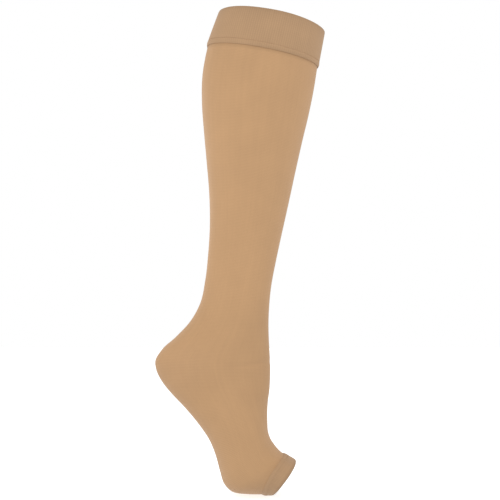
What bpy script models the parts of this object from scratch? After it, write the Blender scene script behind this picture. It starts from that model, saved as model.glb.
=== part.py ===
"""Open-toe knee-high compression stocking, filled out as when it is worn on tiptoe.

A circular-knit tube makes the leg and the foot in one. A doubled band is sewn round its top and a
narrower one round its open toe. The stocking faces +X and stands upright along +Z. The origin is in
the middle of the top band, where the wearer's leg holds the stocking.
"""

from typing import NamedTuple

import bmesh
import bpy
import numpy as np

MM = 0.001

# Driving dimensions, in millimetres.
LEG_WALL = 1.0  # the knitted leg and foot
SEAM_GAP = 0.3  # between two pieces that are sewn together
SEAM_OVERLAP = 5.0  # how far a band reaches over the knitted tube


class Band(NamedTuple):
    """Sizes of a doubled band, in millimetres, measured up from its hem along the middle of the leg."""

    height: float  # hem to fold
    wall: float  # two layers of band knit
    fold_round: float  # height over which the fold rounds over
    hem_rise: float  # height over which the hem rises from the tube to the band's face
    hem_ridge: float  # how far the rolled hem stands out beyond the band's face
    stitch_line: float  # height of the stitching that holds the hem
    stitch_groove: float  # how deep the stitching pulls the band in


TOP_BAND = Band(40.7, 1.0, 1.2, 2.1, 0.4, 5.6, 0.2)
TOE_BAND = Band(12.9, 1.0, 1.0, 2.4, 0.0, 4.2, 0.1)

# Mesh fineness.
WALES = 48  # points round each course
COURSES_PER_ROW = 2  # courses of the mesh for each row of the table of courses
OUTLINE_SAMPLES = 1440  # points tried round a course before they are spaced out evenly
NORMAL_STEP = 0.5  # how far apart two courses are compared to find which way the cloth faces


class Course(NamedTuple):
    """One round of the knit, in millimetres: where it crosses the back and the front of the leg, how
    wide it is from side to side, how square its back and front halves are (2 is an ellipse), and how
    far down the leg its sides dip below the straight line from back to front."""

    name: str
    back_x: float
    back_z: float
    front_x: float
    front_z: float
    width: float
    back_square: float
    front_square: float
    side_dip: float = 0.0


COURSES = (
    #      name            back            front          width  square   dip
    Course("top fold", -54.1, 30.0, 63.6, 9.3, 105.6, 2.4, 2.0, -3.0),
    Course("top hem", -67.7, -8.5, 56.0, -31.5, 109.4, 2.1, 2.0),
    Course("below knee", -73.1, -37.5, 52.4, -54.0, 112.0, 2.1, 2.0),
    Course("calf", -73.9, -72.0, 46.0, -85.5, 111.0, 2.1, 2.0),
    Course("under calf", -71.7, -102.5, 39.0, -114.5, 105.0, 2.1, 2.0),
    Course("calf taper", -68.5, -138.0, 31.1, -149.5, 94.0, 2.1, 2.0),
    Course("mid shin", -65.5, -175.0, 23.4, -185.0, 81.0, 2.0, 2.0),
    Course("low shin", -65.0, -214.5, 14.9, -223.0, 69.0, 2.0, 2.0),
    Course("ankle", -66.8, -242.5, 9.1, -250.0, 62.0, 2.0, 2.0),
    Course("over heel", -69.9, -270.5, 4.0, -277.0, 61.0, 2.0, 2.1),
    Course("heel start", -75.4, -296.0, 1.7, -299.5, 63.5, 2.1, 2.1),
    Course("heel slope", -86.2, -316.0, 0.9, -318.5, 66.0, 2.2, 2.2),
    Course("heel top", -102.8, -334.0, 1.3, -337.5, 67.5, 2.4, 2.3),
    Course("heel back", -118.5, -348.5, 2.2, -353.0, 67.5, 2.6, 2.3),
    Course("heel", -125.1, -359.5, 2.7, -362.0, 67.0, 2.7, 2.3),
    Course("heel turn", -124.2, -370.0, 2.8, -371.0, 66.5, 2.7, 2.3),
    Course("heel under", -117.8, -383.0, 2.5, -382.5, 66.5, 2.7, 2.3),
    Course("sole start", -107.9, -395.5, 1.9, -392.5, 67.0, 2.6, 2.3),
    Course("arch", -92.2, -412.0, 0.4, -403.5, 69.5, 2.5, 2.2),
    Course("instep", -76.7, -430.5, -0.5, -416.0, 73.5, 2.4, 2.2),
    Course("fore sole", -64.5, -448.5, -0.4, -428.0, 78.5, 2.4, 2.2),
    Course("behind ball", -57.3, -466.5, 0.3, -438.5, 83.5, 2.4, 2.2),
    Course("over ball", -53.3, -481.0, 2.8, -446.5, 87.5, 2.5, 2.2),
    Course("ball", -47.7, -496.5, 8.2, -454.8, 90.0, 2.6, 2.2, -0.3),
    Course("under ball", -39.2, -503.9, 12.5, -459.8, 90.5, 2.6, 2.2, -1.3),
    Course("toe root", -22.5, -506.5, 15.2, -462.1, 89.5, 2.6, 2.2, -3.3),
    Course("toe hem", -6.5, -507.0, 17.8, -464.2, 87.0, 2.5, 2.3, -5.5),
    Course("toe fold", 4.0, -506.4, 30.9, -472.0, 84.0, 2.5, 2.3),
)

LEG_COLOUR = (0.552, 0.332, 0.178, 1.0)
BAND_COLOUR = (0.479, 0.305, 0.178, 1.0)
KNIT_ROUGHNESS = 0.85


class Leg:
    """The outside of the knitted tube, as a smooth surface through the courses. A station is the
    distance in millimetres down the middle of the leg, from the fold of the top band."""

    def __init__(self, courses):
        self.table = np.array([course[1:] for course in courses])
        back, front = self.table[:, 0:2], self.table[:, 2:4]
        back_steps = np.linalg.norm(np.diff(back, axis=0), axis=1)
        front_steps = np.linalg.norm(np.diff(front, axis=0), axis=1)
        self.stations = np.concatenate([[0.0], np.cumsum((back_steps + front_steps) / 2)])
        self.slopes = np.gradient(self.table, self.stations, axis=0)
        self.end = self.stations[-1]

    def course(self, station):
        """The sizes of the course at a station, by a cubic through the two nearest rows."""
        row = int(np.searchsorted(self.stations, station)) - 1
        row = min(max(row, 0), len(self.stations) - 2)
        gap = self.stations[row + 1] - self.stations[row]
        t = (station - self.stations[row]) / gap
        return (
            (2 * t**3 - 3 * t**2 + 1) * self.table[row]
            + (t**3 - 2 * t**2 + t) * gap * self.slopes[row]
            + (3 * t**2 - 2 * t**3) * self.table[row + 1]
            + (t**3 - t**2) * gap * self.slopes[row + 1]
        )

    def ring(self, station):
        """Points evenly spaced round a course, from the front over the left side to the back."""
        back_x, back_z, front_x, front_z, width, back_square, front_square, side_dip = self.course(station)
        turn = np.linspace(0.0, 2 * np.pi, OUTLINE_SAMPLES + 1)
        square = np.where(np.cos(turn) < 0, back_square, front_square)
        forward = np.sign(np.cos(turn)) * np.abs(np.cos(turn)) ** (2 / square)
        sideways = np.sign(np.sin(turn)) * np.abs(np.sin(turn)) ** (2 / square)
        depth_x, depth_z = front_x - back_x, front_z - back_z
        dip = side_dip * sideways**2 / np.hypot(depth_x, depth_z)
        outline = np.stack(
            [
                (front_x + back_x) / 2 + forward * depth_x / 2 + dip * depth_z,
                sideways * width / 2,
                (front_z + back_z) / 2 + forward * depth_z / 2 - dip * depth_x,
            ],
            axis=1,
        )
        steps = np.linalg.norm(np.diff(outline, axis=0), axis=1)
        along = np.concatenate([[0.0], np.cumsum(steps)])
        wanted = along[-1] * np.arange(WALES) / WALES
        return np.stack([np.interp(wanted, along, outline[:, k]) for k in range(3)], axis=1)

    def surface(self, station, offset=0.0):
        """A course moved out from the cloth by the offset, in millimetres."""
        ring = self.ring(station)
        down = self.ring(station + NORMAL_STEP) - self.ring(station - NORMAL_STEP)
        around = np.roll(ring, -1, axis=0) - np.roll(ring, 1, axis=0)
        outward = np.cross(down, around)
        outward /= np.linalg.norm(outward, axis=1, keepdims=True)
        return ring + offset * outward

    def stations_between(self, first, last):
        """Both ends and the table's rows between them, with each gap cut into COURSES_PER_ROW steps."""
        rows = self.stations[(self.stations > first) & (self.stations < last)]
        knots = np.concatenate([[first], rows, [last]])
        fine = np.linspace(0, len(knots) - 1, COURSES_PER_ROW * (len(knots) - 1) + 1)
        return np.interp(fine, np.arange(len(knots)), knots)


def knit_material(name, colour):
    material = bpy.data.materials.new(name)
    material.use_nodes = True
    shader = material.node_tree.nodes["Principled BSDF"]
    shader.inputs["Base Color"].default_value = colour
    shader.inputs["Roughness"].default_value = KNIT_ROUGHNESS
    shader.inputs["Metallic"].default_value = 0.0
    return material


def lofted(name, rings, material, closed=False):
    """A skin over rings of points, the first ring on top. A closed skin joins its last ring to its first."""
    shape = bmesh.new()
    rows = [[shape.verts.new(point * MM) for point in ring] for ring in rings]
    pairs = list(zip(rows, rows[1:]))
    if closed:
        pairs.append((rows[-1], rows[0]))
    for upper, lower in pairs:
        for here in range(WALES):
            beside = (here + 1) % WALES
            shape.faces.new((upper[here], lower[here], lower[beside], upper[beside]))
    mesh = bpy.data.meshes.new(name)
    shape.to_mesh(mesh)
    shape.free()
    mesh.shade_smooth()
    mesh.materials.append(material)
    piece = bpy.data.objects.new(name, mesh)
    stocking.objects.link(piece)
    return piece


def leg_and_foot(leg, material):
    """The knitted tube. Both of its ends are tucked under a band."""
    first = TOP_BAND.height - SEAM_OVERLAP
    last = leg.end - TOE_BAND.height + SEAM_OVERLAP
    courses = [leg.surface(station) for station in leg.stations_between(first, last)]
    tube = lofted("leg_and_foot", courses, material)
    wall = tube.modifiers.new("Wall", "SOLIDIFY")
    wall.thickness = LEG_WALL * MM
    wall.offset = -1.0


def band(name, leg, fold, hem, sizes, material):
    """A doubled band, folded at one station and hemmed at the other, as a closed outline taken round
    the leg. It clears the knitted tube by the seam gap where it covers it and lies on the wearer beyond."""
    over_tube = SEAM_GAP
    on_wearer = SEAM_GAP - LEG_WALL
    face = over_tube + sizes.wall
    fold_start = sizes.height - sizes.fold_round
    fold_top = sizes.height - 0.2 * sizes.fold_round
    flat_start = 1.5 * sizes.stitch_line
    # Each row: distance from the hem towards the fold, and distance out from the tube's surface.
    outline = [
        (0.0, over_tube + 0.05 * sizes.wall),
        (0.0, over_tube + 0.5 * sizes.wall),
        (0.4 * sizes.hem_rise, over_tube + 0.8 * sizes.wall),
        (sizes.hem_rise, face + 0.6 * sizes.hem_ridge),
        ((sizes.hem_rise + sizes.stitch_line) / 2, face + sizes.hem_ridge),
        (sizes.stitch_line - 0.7, face),
        (sizes.stitch_line, face - sizes.stitch_groove),
        (sizes.stitch_line + 0.7, face),
        ((flat_start + fold_start) / 2, face),
        (fold_start, face - 0.05 * sizes.wall),
        (fold_top, face - 0.25 * sizes.wall),
        (sizes.height, face - 0.7 * sizes.wall),
        (fold_top, on_wearer + 0.3 * sizes.wall),
        (fold_start, on_wearer),
        (SEAM_OVERLAP + 2.0, on_wearer),
        (SEAM_OVERLAP + SEAM_GAP, over_tube),
        (2 * SEAM_GAP, over_tube),
    ]
    toward_fold = np.sign(fold - hem)
    if toward_fold < 0:
        outline.reverse()
    rings = [leg.surface(hem + toward_fold * rise, out) for rise, out in outline]
    lofted(name, rings, material, closed=True)


for old in list(bpy.data.objects):
    bpy.data.objects.remove(old)
stocking = bpy.data.collections.new("compression_stocking")
bpy.context.scene.collection.children.link(stocking)

leg_knit = knit_material("leg_knit", LEG_COLOUR)
band_knit = knit_material("band_knit", BAND_COLOUR)
leg = Leg(COURSES)
leg_and_foot(leg, leg_knit)
band("top_band", leg, 0.0, TOP_BAND.height, TOP_BAND, band_knit)
band("toe_band", leg, leg.end, leg.end - TOE_BAND.height, TOE_BAND, band_knit)
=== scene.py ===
import bmesh
import bpy
import numpy as np
from mathutils import Matrix, Vector


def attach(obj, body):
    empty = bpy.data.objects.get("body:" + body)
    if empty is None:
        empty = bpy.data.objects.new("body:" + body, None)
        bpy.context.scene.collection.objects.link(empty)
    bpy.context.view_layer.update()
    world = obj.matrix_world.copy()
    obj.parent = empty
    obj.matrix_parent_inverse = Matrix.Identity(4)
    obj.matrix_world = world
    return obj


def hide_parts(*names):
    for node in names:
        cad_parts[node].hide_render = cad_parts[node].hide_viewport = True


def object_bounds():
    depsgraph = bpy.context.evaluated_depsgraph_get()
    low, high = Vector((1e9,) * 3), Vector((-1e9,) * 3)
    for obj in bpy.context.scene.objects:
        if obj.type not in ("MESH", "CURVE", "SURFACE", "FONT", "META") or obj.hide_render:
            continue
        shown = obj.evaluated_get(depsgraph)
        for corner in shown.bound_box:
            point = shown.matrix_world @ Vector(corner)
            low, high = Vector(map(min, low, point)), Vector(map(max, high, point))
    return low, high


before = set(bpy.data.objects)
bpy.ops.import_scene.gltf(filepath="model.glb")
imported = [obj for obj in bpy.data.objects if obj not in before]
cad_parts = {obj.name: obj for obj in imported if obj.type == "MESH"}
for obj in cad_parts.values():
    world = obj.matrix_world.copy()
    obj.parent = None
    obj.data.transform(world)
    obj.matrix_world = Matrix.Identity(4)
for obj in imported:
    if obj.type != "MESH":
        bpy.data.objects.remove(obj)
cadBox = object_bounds()
print("packed stocking loaded")

mm = 0.001

# ---- camera

camera = {
    "place": (-0.0198, -1.322, -0.293),
    "aim": (-0.0198, 0.0, -0.2367),  # a little above the middle of the stocking
    "lens": 85.0,
    "sensor": 36.0,
}


def turnedTo(place, aim):
    return (Vector(aim) - Vector(place)).to_track_quat("-Z", "Y").to_euler()


def makeCamera(settings):
    data = bpy.data.cameras.new("studioCamera")
    data.lens = settings["lens"]
    data.sensor_width = settings["sensor"]
    thing = bpy.data.objects.new("studioCamera", data)
    thing.location = settings["place"]
    thing.rotation_euler = turnedTo(settings["place"], settings["aim"])
    bpy.context.scene.collection.objects.link(thing)
    bpy.context.scene.camera = thing


makeCamera(camera)
print("camera made")

# ---- materials


def linearColour(hexText):  # sRGB hex to the linear colour that a socket takes
    parts = [int(hexText[start:start + 2], 16) / 255 for start in (1, 3, 5)]
    return tuple(c / 12.92 if c <= 0.04045 else ((c + 0.055) / 1.055) ** 2.4 for c in parts) + (1.0,)


def addNode(tree, kind, settings=(), links=()):  # a link from a node takes its first output
    node = tree.nodes.new("ShaderNode" + kind)
    for name, value in dict(settings).items():
        if hasattr(node, str(name)):
            setattr(node, name, value)
        else:
            node.inputs[name].default_value = value
    for socket, source in dict(links).items():
        tree.links.new(getattr(source, "outputs", (source,))[0], node.inputs[socket])
    return node


def newMaterial(name):
    material = bpy.data.materials.new(name)
    material.use_nodes = True
    return material, material.node_tree, material.node_tree.nodes["Principled BSDF"]


# Flat knit of textured nylon microfibre with covered elastane laid in: a matt, even, skin-coloured
# face of tiny V-shaped stitches in upright wales, with a soft bloom at grazing angles.
legKnit = {
    "face": "#CEA376",
    "between": "#BC9165",  # painted shade down between the yarns, where the knit's relief sinks
    "heelFace": "#D0A579",
    "wales": 160,  # really about 400 of 0.9 mm; drawn 2.5 times coarser, or they blur away
    "coursesPerMetre": 620.0,  # really about 2000 of 0.5 mm; drawn coarser for the same reason
    "relief": 0.1 * mm,
    "bumpStrength": 0.6,
    "roughness": 0.82,
    "ior": 1.53,  # nylon
    "sheen": 0.1,
    "sheenRoughness": 0.4,
    "paintedShadeFactor": 0.86,  # how dark the painted shade is at its fullest: shadow beside the hems, less light round the heel and towards the toe
    "streaks": (100.0, 12.0),  # along the wales: how many round the leg, how many to a metre of length
    "patches": 30.0,  # how many soft patches to a metre
    "unevenness": 0.06,  # how far streaks and patches go from the dyed shade
    "heelMiddle": (-0.096, 0.0, -0.364),
    "heelReach": (0.012, 0.044),
}

# Doubled 1x1 rib of the same yarns with heavier elastane: fine upright ribs, a greyer and denser face.
bandKnit = {
    "face": "#BA956F",
    # painted shade down between the ribs
    "between": "#B08C68",
    "ribs": 150,  # really about 220; drawn coarser, or they blur away
    "coursesPerMetre": 900.0,
    "relief": 0.12 * mm,
    "bumpStrength": 0.6,
    "roughness": 0.85,
    "ior": 1.53,
    "sheen": 0.06,
    "sheenRoughness": 0.4,
    "paintedShadeFactor": 0.8,  # how dark the painted shade is at its fullest: the turned fold, shaded as it curves away
    "streaks": (60.0, 1.0),  # along the ribs
    "patches": 30.0,
    "unevenness": 0.075,
}

# Textured nylon sewing thread, two yarns softly twisted together, matt and close to the band's shade.
seamThread = {
    "face": "#BD9974",
    # painted shade in the grooves between the two yarns
    "between": "#AB8866",
    "yarns": 2,
    "twistsPerStitch": 1.5,  # about 750 to a metre
    "roughness": 0.75,
    "ior": 1.53,
}


def knitMap(tree):
    place = addNode(tree, "UVMap", {"uv_map": "knit"})
    parts = addNode(tree, "SeparateXYZ", links={0: place})
    return parts.outputs[0], parts.outputs[1]  # turns round the leg, metres down it


def dyedWithPaintedShade(tree, colour, settings):  # yarns never take up the dye quite alike; painted shade darkens the colour where the vertices carry it
    acrossScale, downScale = settings["streaks"]
    turn, down = knitMap(tree)
    angle = addNode(tree, "Math", {"operation": "MULTIPLY", 1: 2 * np.pi}, {0: turn})
    forward = addNode(tree, "Math", {"operation": "COSINE"}, {0: angle})
    sideways = addNode(tree, "Math", {"operation": "SINE"}, {0: angle})
    tube = addNode(tree, "CombineXYZ", links={0: forward, 1: sideways, 2: down})  # closes without a join
    radius = acrossScale / (2 * np.pi)
    scaled = {"operation": "MULTIPLY", 1: (radius, radius, downScale)}
    yarns = addNode(tree, "VectorMath", scaled, {0: tube})
    yarns = addNode(tree, "TexNoise", {"Scale": 1.0, "Detail": 2.0}, {"Vector": yarns})
    place = addNode(tree, "TexCoord")
    spots = {"Scale": settings["patches"], "Detail": 4.0}
    patches = addNode(tree, "TexNoise", spots, {"Vector": place.outputs["Object"]})
    both = addNode(tree, "Math", {"operation": "MULTIPLY_ADD", 1: 0.5}, {0: yarns, 2: patches})
    spread = settings["unevenness"]
    limits = {"From Min": 0.35, "From Max": 1.15, "To Min": 1.0 - spread, "To Max": 1.0 + spread}
    shade = addNode(tree, "MapRange", limits, {"Value": both})
    # painted shade: the colour is darkened where the vertices carry painted shadow and fall-off of light
    paintedShade = addNode(tree, "Attribute", {"attribute_name": "paintedShade"}).outputs["Fac"]
    paintedShadeScale = {"To Min": 1.0, "To Max": settings["paintedShadeFactor"]}
    paintedShadeScale = addNode(tree, "MapRange", paintedShadeScale, {"Value": paintedShade})
    shade = addNode(tree, "Math", {"operation": "MULTIPLY"}, {0: shade, 1: paintedShadeScale})
    grey = addNode(tree, "CombineColor", links={0: shade, 1: shade, 2: shade})
    multiply = {"data_type": "RGBA", "blend_type": "MULTIPLY", 0: 1.0}
    return addNode(tree, "Mix", multiply, {6: colour, 7: grey}).outputs[2]


def finishCloth(tree, shader, settings, colour, height):
    depth = {"Strength": settings["bumpStrength"], "Distance": settings["relief"]}
    bump = addNode(tree, "Bump", depth, {"Height": height})
    tree.links.new(colour, shader.inputs["Base Color"])
    tree.links.new(bump.outputs[0], shader.inputs["Normal"])
    shader.inputs["Roughness"].default_value = settings["roughness"]
    shader.inputs["IOR"].default_value = settings["ior"]
    shader.inputs["Sheen Weight"].default_value = settings["sheen"]
    shader.inputs["Sheen Roughness"].default_value = settings["sheenRoughness"]


def legKnitMaterial(settings):
    material, tree, shader = newMaterial("nylonElastaneFlatKnit")
    turn, down = knitMap(tree)
    wale = addNode(tree, "Math", {"operation": "MULTIPLY", 1: settings["wales"]}, {0: turn})
    side = addNode(tree, "Math", {"operation": "PINGPONG", 1: 0.5}, {0: wale})  # across half a stitch
    course = addNode(tree, "Math", {"operation": "MULTIPLY", 1: settings["coursesPerMetre"]}, {0: down})
    slanted = addNode(tree, "Math", {"operation": "SUBTRACT"}, {0: course, 1: side})  # the legs of each V
    along = addNode(tree, "Math", {"operation": "MULTIPLY", 1: np.pi}, {0: slanted})
    along = addNode(tree, "Math", {"operation": "SINE"}, {0: along})
    along = addNode(tree, "Math", {"operation": "ABSOLUTE"}, {0: along})
    across = addNode(tree, "Math", {"operation": "MULTIPLY", 1: 2 * np.pi}, {0: side})
    across = addNode(tree, "Math", {"operation": "SINE"}, {0: across})
    height = addNode(tree, "Math", {"operation": "MULTIPLY"}, {0: along, 1: across})

    place = addNode(tree, "TexCoord")
    flat = addNode(
        tree, "VectorMath", {"operation": "MULTIPLY", 1: (1.0, 0.0, 1.0)}, {0: place.outputs["Object"]}
    )
    reach = addNode(tree, "VectorMath", {"operation": "DISTANCE", 1: settings["heelMiddle"]}, {0: flat})
    near, far = settings["heelReach"]
    fade = {"interpolation_type": "SMOOTHSTEP", "From Min": far, "From Max": near}
    heel = addNode(tree, "MapRange", fade, {"Value": reach.outputs["Value"]})
    shades = {6: linearColour(settings["face"]), 7: linearColour(settings["heelFace"])}
    face = addNode(tree, "Mix", {"data_type": "RGBA", **shades}, {0: heel}).outputs[2]

    # painted shade: the colour goes darker where the knit's relief sinks between the yarns
    depth = addNode(tree, "MapRange", {"To Min": 0.3}, {"Value": height})
    shades = {6: linearColour(settings["between"])}
    colour = addNode(tree, "Mix", {"data_type": "RGBA", **shades}, {0: depth, 7: face}).outputs[2]
    colour = dyedWithPaintedShade(tree, colour, settings)
    finishCloth(tree, shader, settings, colour, height)
    return material


def bandKnitMaterial(settings):
    material, tree, shader = newMaterial("nylonElastaneRibKnit")
    turn, down = knitMap(tree)
    rib = addNode(tree, "Math", {"operation": "MULTIPLY", 1: np.pi * settings["ribs"]}, {0: turn})
    rib = addNode(tree, "Math", {"operation": "SINE"}, {0: rib})
    rib = addNode(tree, "Math", {"operation": "ABSOLUTE"}, {0: rib})
    courseTurn = np.pi * settings["coursesPerMetre"]
    course = addNode(tree, "Math", {"operation": "MULTIPLY", 1: courseTurn}, {0: down})
    course = addNode(tree, "Math", {"operation": "SINE"}, {0: course})
    course = addNode(tree, "MapRange", {"From Min": -1.0, "To Min": 0.7}, {"Value": course})
    height = addNode(tree, "Math", {"operation": "MULTIPLY"}, {0: rib, 1: course})
    # painted shade: darker where the rib's relief sinks
    shades = {6: linearColour(settings["between"]), 7: linearColour(settings["face"])}
    colour = addNode(tree, "Mix", {"data_type": "RGBA", **shades}, {0: height}).outputs[2]
    colour = dyedWithPaintedShade(tree, colour, settings)
    finishCloth(tree, shader, settings, colour, height)
    return material


def seamThreadMaterial(settings):
    material, tree, shader = newMaterial("twistedNylonThread")
    place = addNode(tree, "UVMap", {"uv_map": "stitch"})
    parts = addNode(tree, "SeparateXYZ", links={0: place})
    turn, along = parts.outputs[0], parts.outputs[1]  # round the thread, from end to end of a stitch
    twists = settings["twistsPerStitch"]
    winding = addNode(tree, "Math", {"operation": "MULTIPLY_ADD", 1: twists}, {0: along, 2: turn})
    yarn = addNode(tree, "Math", {"operation": "MULTIPLY", 1: np.pi * settings["yarns"]}, {0: winding})
    yarn = addNode(tree, "Math", {"operation": "SINE"}, {0: yarn})
    yarn = addNode(tree, "Math", {"operation": "ABSOLUTE"}, {0: yarn})
    # painted shade: darker in the grooves between the twisted yarns
    shades = {6: linearColour(settings["between"]), 7: linearColour(settings["face"])}
    colour = addNode(tree, "Mix", {"data_type": "RGBA", **shades}, {0: yarn}).outputs[2]
    tree.links.new(colour, shader.inputs["Base Color"])
    shader.inputs["Roughness"].default_value = settings["roughness"]
    shader.inputs["IOR"].default_value = settings["ior"]
    return material


legCloth = legKnitMaterial(legKnit)
bandCloth = bandKnitMaterial(bandKnit)
thread = seamThreadMaterial(seamThread)
print("materials made")

# ---- the shape that a worn stocking takes, in millimetres

# Each row is one round of the knit: where it crosses the back and the front of the leg (x, z), its width
# from side to side, how square its back and front halves are (2 is an ellipse), and how far its sides dip.
wornShape = {
    "columns": ("backX", "backZ", "frontX", "frontZ", "width", "backSquare", "frontSquare", "sideDip"),
    "topFold": (-54.1, 30.0, 63.6, 9.3, 105.6, 2.4, 2.0, -3.0),
    "topHem": (-67.7, -8.5, 56.0, -31.5, 109.4, 2.1, 2.0, 0.0),
    "belowKnee": (-73.1, -37.5, 52.4, -54.0, 112.0, 2.1, 2.0, 0.0),
    "calf": (-73.9, -72.0, 46.0, -85.5, 111.0, 2.1, 2.0, 0.0),
    "underCalf": (-71.7, -102.5, 39.0, -114.5, 105.0, 2.1, 2.0, 0.0),
    "calfTaper": (-68.5, -138.0, 31.1, -149.5, 94.0, 2.1, 2.0, 0.0),
    "midShin": (-65.5, -175.0, 23.4, -185.0, 81.0, 2.0, 2.0, 0.0),
    "lowShin": (-65.0, -214.5, 14.9, -223.0, 69.0, 2.0, 2.0, 0.0),
    "ankle": (-66.8, -242.5, 9.1, -250.0, 62.0, 2.0, 2.0, 0.0),
    "overHeel": (-69.9, -270.5, 4.0, -277.0, 61.0, 2.0, 2.1, 0.0),
    "heelStart": (-75.4, -296.0, 1.7, -299.5, 63.5, 2.1, 2.1, 0.0),
    "heelSlope": (-86.2, -316.0, 0.9, -318.5, 66.0, 2.2, 2.2, 0.0),
    "heelTop": (-102.8, -334.0, 1.3, -337.5, 67.5, 2.4, 2.3, 0.0),
    "heelBack": (-118.5, -348.5, 2.2, -353.0, 67.5, 2.6, 2.3, 0.0),
    "heel": (-125.1, -359.5, 2.7, -362.0, 67.0, 2.7, 2.3, 0.0),
    "heelTurn": (-124.2, -370.0, 2.8, -371.0, 66.5, 2.7, 2.3, 0.0),
    "heelUnder": (-117.8, -383.0, 2.5, -382.5, 66.5, 2.7, 2.3, 0.0),
    "soleStart": (-107.9, -395.5, 1.9, -392.5, 67.0, 2.6, 2.3, 0.0),
    "arch": (-92.2, -412.0, 0.4, -403.5, 69.5, 2.5, 2.2, 0.0),
    "instep": (-76.7, -430.5, -0.5, -416.0, 73.5, 2.4, 2.2, 0.0),
    "foreSole": (-64.5, -448.5, -0.4, -428.0, 78.5, 2.4, 2.2, 0.0),
    "behindBall": (-57.3, -466.5, 0.3, -438.5, 83.5, 2.4, 2.2, 0.0),
    "overBall": (-53.3, -481.0, 2.8, -446.5, 87.5, 2.5, 2.2, 0.0),
    "ball": (-47.7, -496.5, 8.2, -454.8, 90.0, 2.6, 2.2, -0.3),
    "underBall": (-39.2, -503.9, 12.5, -459.8, 90.5, 2.6, 2.2, -1.3),
    "toeRoot": (-22.5, -506.5, 15.2, -462.1, 89.5, 2.6, 2.2, -3.3),
    "toeHem": (-6.5, -507.0, 17.8, -464.2, 87.0, 2.5, 2.3, -5.5),
    "toeFold": (4.0, -506.4, 30.9, -472.0, 84.0, 2.5, 2.3, 0.0),
}

rounds = np.array([row for name, row in wornShape.items() if name != "columns"])
backSteps = np.linalg.norm(np.diff(rounds[:, 0:2], axis=0), axis=1)
frontSteps = np.linalg.norm(np.diff(rounds[:, 2:4], axis=0), axis=1)
reached = np.concatenate([[0.0], np.cumsum((backSteps + frontSteps) / 2)])  # down the middle of the leg
slopes = np.gradient(rounds, reached, axis=0)
toeEnd = float(reached[-1])
outlineSamples = 1440


def roundAt(down):  # a cubic through the two nearest rows
    row = min(max(int(np.searchsorted(reached, down)) - 1, 0), len(reached) - 2)
    gap = reached[row + 1] - reached[row]
    t = (down - reached[row]) / gap
    return (
        (2 * t**3 - 3 * t**2 + 1) * rounds[row] + (t**3 - 2 * t**2 + t) * gap * slopes[row]
        + (3 * t**2 - 2 * t**3) * rounds[row + 1] + (t**3 - t**2) * gap * slopes[row + 1]
    )


def outlineAt(down, around):  # evenly spaced points, from the front over the left side to the back
    backX, backZ, frontX, frontZ, width, backSquare, frontSquare, sideDip = roundAt(down)
    turn = np.linspace(0.0, 2 * np.pi, outlineSamples + 1)
    square = np.where(np.cos(turn) < 0, backSquare, frontSquare)
    forward = np.sign(np.cos(turn)) * np.abs(np.cos(turn)) ** (2 / square)
    sideways = np.sign(np.sin(turn)) * np.abs(np.sin(turn)) ** (2 / square)
    depthX, depthZ = frontX - backX, frontZ - backZ
    dip = sideDip * sideways**2 / np.hypot(depthX, depthZ)
    outline = np.stack([
        (frontX + backX) / 2 + forward * depthX / 2 + dip * depthZ,
        sideways * width / 2,
        (frontZ + backZ) / 2 + forward * depthZ / 2 - dip * depthX,
    ], axis=1)
    along = np.concatenate([[0.0], np.cumsum(np.linalg.norm(np.diff(outline, axis=0), axis=1))])
    wanted = along[-1] * np.arange(around) / around
    return np.stack([np.interp(wanted, along, outline[:, k]) for k in range(3)], axis=1)


def clothRound(down, out, around):  # one round of the cloth, moved out from the leg's surface
    ring = outlineAt(down, around)
    downward = outlineAt(down + 0.5, around) - outlineAt(down - 0.5, around)
    sideward = np.roll(ring, -1, axis=0) - np.roll(ring, 1, axis=0)
    outward = np.cross(downward, sideward)
    return ring + out * outward / np.linalg.norm(outward, axis=1, keepdims=True)


def wrappedCloth(name, places, around, material, closed):
    # places are rows from the lowest round up: mm down the leg, mm out from it, how much painted shade it
    # has
    rows = len(places) if closed else len(places) - 1
    rings = [clothRound(down, out, around) * mm for down, out, share in places]
    cloth = bmesh.new()
    knit = cloth.loops.layers.uv.new("knit")
    # painted shade on each vertex, read by the material
    paintedShade = cloth.verts.layers.float.new("paintedShade")
    bmesh.ops.create_grid(cloth, x_segments=around, y_segments=rows, size=0.5, calc_uvs=True)
    for face in cloth.faces:
        for corner in face.loops:
            row = round(corner[knit].uv.y * rows) % len(places)
            corner[knit].uv.y = places[row][0] * mm
    for vert in cloth.verts:
        row = round((vert.co.y + 0.5) * rows) % len(places)
        vert[paintedShade] = places[row][2]
        vert.co = rings[row][round((vert.co.x + 0.5) * around) % around]
    bmesh.ops.remove_doubles(cloth, verts=cloth.verts, dist=1e-6)  # closes the tube along its length
    if closed:
        bmesh.ops.recalc_face_normals(cloth, faces=cloth.faces)
    return newPiece(name, cloth, material)


def newPiece(name, shape, material):
    mesh = bpy.data.meshes.new(name)
    shape.to_mesh(mesh)
    shape.free()
    mesh.shade_smooth()
    mesh.materials.append(material)
    piece = bpy.data.objects.new(name, mesh)
    bpy.context.scene.collection.objects.link(piece)
    return piece


# ---- leg and foot, one seamless knitted tube

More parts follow.
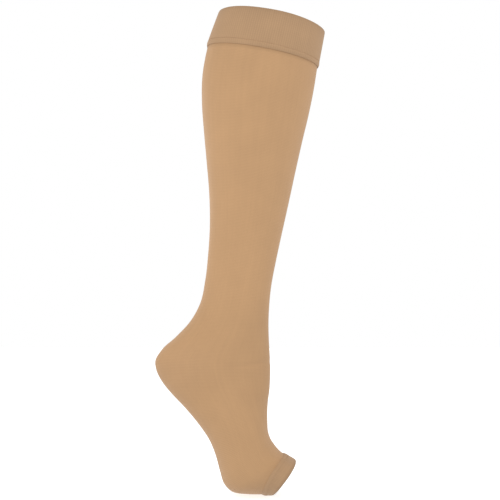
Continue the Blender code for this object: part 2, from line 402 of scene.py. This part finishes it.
legPiece = {
    "wall": 0.8,
    "around": 128,
    "rows": 240,
    "tuckedUnder": 5.0,  # how far each end reaches under its band
    "rowsBesideHem": (0.0, 0.7, 1.4, 2.1, 2.8, 3.5, 4.2),  # more rows where the shade changes fast
    "paintedShadeUnderTop": (  # painted shade at so many mm from the top hem: a shadow under the hem's edge, fading out down the calf
        (0.0, 1.0), (2.1, 0.95), (4.2, 0.38), (20.0, 0.4), (60.0, 0.2), (110.0, 0.1), (180.0, 0.0),
    ),
    "paintedShadeTowardsToe": (  # painted shade from the toe hem, past the heel: darker round the heel and towards the toe, with a shadow at the hem
        (270.0, 0.0), (170.0, 0.36), (50.0, 0.26), (14.0, 0.4), (0.0, 0.74),
    ),
    "ankleCrease": {  # where the front of the ankle bends: x, z and depth from its faint end
        "line": ((-42.0, -365.5, 0.0), (-24.0, -364.3, 0.7), (-6.0, -362.3, 0.8), (5.0, -361.0, 0.3)),
        "halfWidth": 2.8,
    },
}
topBand = {
    "fold": 0.0,
    "hem": 40.7,
    "wall": 1.0,
    "foldRound": 1.2,
    "hemLift": 0.65,  # how thick the edge of the hem is over the leg
    "hemRise": 2.1,  # from the hem up to the band's full thickness
    "ridge": 0.4,  # how far the rolled hem stands out
    "stitchLine": 5.6,  # from the hem up to the seam
    "groove": 0.15,  # how deep the seam pulls the band in
    "around": 128,
    "stitches": 140,
    "stitchWidth": 1.5,
    "threadThickness": 0.45,
}
toeBand = {
    "fold": toeEnd,
    "hem": toeEnd - 12.9,
    "wall": 1.0,
    "foldRound": 1.0,
    "hemLift": 0.15,  # pressed flat, so that it doesn't rub on the foot
    "hemRise": 2.4,
    "ridge": 0.0,
    "stitchLine": 4.2,
    "groove": 0.0,
    "around": 128,
    "stitches": 64,
    "stitchWidth": 1.8,
    "threadThickness": 0.15,
}
seamGap = 0.3  # between the leg and a band
seamReach = 0.8  # how far beside its stitches a seam pulls the band in
insideGap = 0.2  # between the leg's inside and a band's inner layer
threadOverlap = 0.15  # how far each stitch reaches past its ends
threadHeight = 0.2  # how far a thread's middle lies over the knit, as a share of its thickness


def pressCrease(piece, crease):  # a soft trough, alike on both sides of the leg
    lineX, lineZ, depths = np.array(crease["line"]).T
    normals = [vert.normal.copy() for vert in piece.data.vertices]
    for vert, normal in zip(piece.data.vertices, normals):
        x, z = vert.co.x / mm, vert.co.z / mm
        across = (z - np.interp(x, lineX, lineZ)) / crease["halfWidth"]
        vert.co -= normal * float(np.interp(x, lineX, depths) * mm * np.exp(-across ** 2))


def makeLeg(settings, upper, lower):
    first = upper["hem"] - settings["tuckedUnder"]
    last = lower["hem"] + settings["tuckedUnder"]
    downs = np.linspace(last, first, settings["rows"] + 1)
    beside = np.array(settings["rowsBesideHem"])
    downs = np.unique(np.concatenate([downs, upper["hem"] + beside, lower["hem"] - beside]))[::-1]
    # painted shade down the leg: a shadow under the top hem, darker round the heel and towards the toe
    marks = [(upper["hem"] + away, share) for away, share in settings["paintedShadeUnderTop"]]
    marks += [(lower["hem"] - away, share) for away, share in settings["paintedShadeTowardsToe"]]
    paintedShade = np.interp(downs, *np.transpose(marks))
    places = [(down, 0.0, share) for down, share in zip(downs, paintedShade)]
    leg = wrappedCloth("legAndFoot", places, settings["around"], legCloth, closed=False)
    pressCrease(leg, settings["ankleCrease"])
    wall = leg.modifiers.new("wall", "SOLIDIFY")
    wall.thickness = settings["wall"] * mm
    wall.offset = -1.0
    return leg


leg = makeLeg(legPiece, topBand, toeBand)
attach(leg, "root")
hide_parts("leg_and_foot")
print("leg and foot made")

# ---- doubled bands round the top and the open toe


def makeBand(name, settings, legWall):
    wall, ridge, groove = settings["wall"], settings["ridge"], settings["groove"]
    rise, line, turned = settings["hemRise"], settings["stitchLine"], settings["foldRound"]
    height = abs(settings["fold"] - settings["hem"])
    towardFold = 1 if settings["fold"] > settings["hem"] else -1
    overTube, onWearer = seamGap, seamGap - legWall - insideGap
    face = overTube + wall
    under = legPiece["tuckedUnder"]
    lift = settings["hemLift"]
    profile = [  # distance from the hem towards the fold, distance out from the leg's surface, painted shade
        (0.0, 0.6 * lift, 0.0),
        (0.0, lift, 0.0),
        (0.4 * rise, (lift + face) / 2, 0.0),
        (rise, face + 0.6 * ridge, 0.0),
        ((rise + line) / 2, face + ridge, 0.0),
        (line - seamReach, face + 0.3 * ridge, 0.0),
        (line, face - groove, 0.0),
        (line + seamReach, face, 0.0),
        (1.8 * line, face, 0.0),
        ((1.8 * line + height) / 2, face, 0.0),
        # painted shade along the turned fold
        (height - 2 * turned, face, 0.4),
        (height - 0.7 * turned, face - 0.05 * wall, 0.9),
        (height - 0.2 * turned, face - 0.25 * wall, 1.0),
        (height, face - 0.7 * wall, 1.0),
        (height - 0.2 * turned, onWearer + 0.3 * wall, 1.0),
        (height - turned, onWearer, 0.6),
        (under + turned, onWearer, 0.0),
        (under + seamGap, overTube, 0.0),
        (2 * seamGap, overTube, 0.0),
    ]
    places = [(settings["hem"] + towardFold * up, out, paintedShade) for up, out, paintedShade in profile]
    band = wrappedCloth(name, places, settings["around"], bandCloth, closed=True)
    smooth = band.modifiers.new("smooth", "SUBSURF")
    smooth.levels = smooth.render_levels = 1
    return band


def makeStitches(name, settings):
    line = settings["stitchLine"]
    face = seamGap + settings["wall"] - settings["groove"]
    towardFold = 1 if settings["fold"] > settings["hem"] else -1
    middle = settings["hem"] + towardFold * line
    thickness = settings["threadThickness"]
    turns = 2 * settings["stitches"]
    out = face + threadHeight * thickness
    edges = [clothRound(middle + side * settings["stitchWidth"] / 2, out, turns) for side in (-1, 1)]
    shape = bmesh.new()
    shape.loops.layers.uv.new("stitch")
    for step in range(turns):  # a zigzag, which stretches with the band
        start = Vector(edges[step % 2][step])
        end = Vector(edges[(step + 1) % 2][(step + 1) % turns])
        half = (end - start).length / 2 + threadOverlap
        size = Matrix.Diagonal((thickness / 2, thickness / 2, half, 1.0))
        turned = (end - start).to_track_quat("Z", "Y").to_matrix().to_4x4()
        placed = Matrix.Scale(mm, 4) @ Matrix.Translation((start + end) / 2) @ turned @ size
        bmesh.ops.create_uvsphere(
            shape, u_segments=6, v_segments=4, radius=1.0, matrix=placed, calc_uvs=True
        )
    return newPiece(name, shape, thread)


for name, node, settings, cut in (
    ("topBand", "top_band", topBand, (0.27, 0.044)),
    ("toeBand", "toe_band", toeBand, (0.165, 0.0145)),
):
    band = makeBand(name, settings, legPiece["wall"])
    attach(band, "root")
    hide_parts(node)
    stitches = makeStitches(name + "Stitches", settings)
    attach(stitches, "root")
    print(name, "made")

# ---- floor and light

studio = {
    "floorSize": 8.0,
    "floorGap": 0.3 * mm,  # under the sole
    "floorColour": "#D4D4D2",
    "floorGlow": 0.75,  # a light table: it keeps the shadow under the toe pale
    "skyStrength": 0.77,
    "softboxes": {  # place, size, power, spread in degrees
        "upperLeft": ((-0.9, -1.05, 0.3), 0.8, 5.0, 180),
        "upperRight": ((0.6, -0.25, 0.3), 0.4, 1.15, 180),
        "behindLeft": ((-0.5, 0.6, -0.1), 0.3, 0.07, 40),  # brings up the bloom on the back of the calf
    },
    "aim": (-0.03, 0.0, -0.15),
}


def makeFloor(settings, height):
    floor = bmesh.new()
    bmesh.ops.create_grid(floor, x_segments=1, y_segments=1, size=settings["floorSize"] / 2)
    bmesh.ops.translate(floor, verts=floor.verts, vec=(0.0, 0.0, height))
    material, tree, shader = newMaterial("whiteLightTable")
    shader.inputs["Base Color"].default_value = linearColour(settings["floorColour"])
    shader.inputs["Roughness"].default_value = 0.9
    shader.inputs["Emission Color"].default_value = (1.0, 1.0, 1.0, 1.0)
    shader.inputs["Emission Strength"].default_value = settings["floorGlow"]
    piece = newPiece("floor", floor, material)
    piece.visible_diffuse = False  # the sole is lit by the room, not from below


def makeLight(settings):
    world = bpy.data.worlds.new("studio")
    world.use_nodes = True
    tree = world.node_tree
    backdrop = addNode(tree, "LightPath").outputs["Is Camera Ray"]  # the backdrop itself is plain white
    strength = addNode(tree, "MapRange", {"To Min": settings["skyStrength"]}, {"Value": backdrop})
    sky = tree.nodes["Background"]
    sky.inputs["Color"].default_value = (1.0, 1.0, 1.0, 1.0)
    tree.links.new(strength.outputs[0], sky.inputs["Strength"])
    bpy.context.scene.world = world
    for name, (place, size, power, spread) in settings["softboxes"].items():
        lamp = bpy.data.lights.new(name, "AREA")
        lamp.size = size
        lamp.energy = power
        lamp.spread = np.radians(spread)
        thing = bpy.data.objects.new(name, lamp)
        thing.location = place
        thing.rotation_euler = turnedTo(place, settings["aim"])
        thing.visible_camera = False
        bpy.context.scene.collection.objects.link(thing)


makeFloor(studio, cadBox[0].z - studio["floorGap"])
makeLight(studio)
bpy.context.scene.view_settings.view_transform = "Standard"
print("floor and light made")
